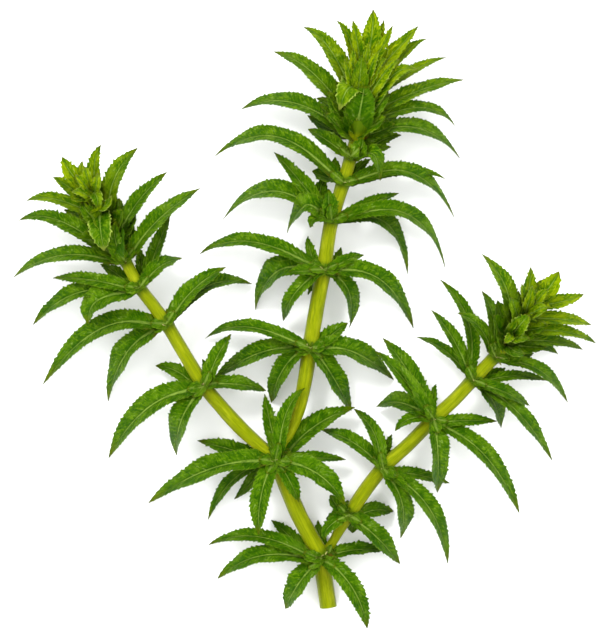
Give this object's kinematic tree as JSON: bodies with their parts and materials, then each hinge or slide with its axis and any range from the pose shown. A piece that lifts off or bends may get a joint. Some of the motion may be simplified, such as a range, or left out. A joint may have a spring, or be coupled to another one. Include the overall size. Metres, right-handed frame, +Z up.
{
  "type": "hydrilla sprig",
  "caption": "Cut, forked sprig of hydrilla, a water plant, lying flat: yellow-green stems with whorls of toothed, recurved green leaves and crowded young leaves at the shoot tips.",
  "frame": {"origin": "on the surface that the sprig lies on, under the middle of its bounding box", "axes": "+Z up from the surface, +Y along the sprig from its cut end towards the shoot tips, +X across it towards the right shoot"},
  "size_m": [0.117, 0.124, 0.0152],
  "materials": {
    "stem_green": "smooth, slightly glossy plant stem, yellow-green",
    "leaf_green": "satin leaf, mid to dark green",
    "young_leaf_green": "satin young leaf, light yellow-green"
  },
  "bodies": {
    "root": {"main_stem": "stem_green", "left_stem": "stem_green", "centre_stem": "stem_green", "right_stem": "stem_green", "leaf_whorl_base": "leaf_green", "leaf_whorl_fork": "leaf_green", "leaf_whorl_left_1": "leaf_green", "leaf_whorl_left_2": "leaf_green", "leaf_whorl_left_3": "leaf_green", "leaf_whorl_left_4": "leaf_green", "leaf_whorl_centre_1": "leaf_green", "leaf_whorl_centre_2": "leaf_green", "leaf_whorl_centre_3": "leaf_green", "leaf_whorl_centre_4": "leaf_green", "leaf_whorl_centre_5": "leaf_green", "leaf_whorl_right_1": "leaf_green", "leaf_whorl_right_2": "leaf_green", "leaf_whorl_right_3": "leaf_green", "leaf_whorl_right_4": "leaf_green", "leaf_whorl_right_5": "leaf_green", "shoot_tip_left": "young_leaf_green", "shoot_tip_centre": "young_leaf_green", "shoot_tip_right": "young_leaf_green"}
  },
  "joints": []
}
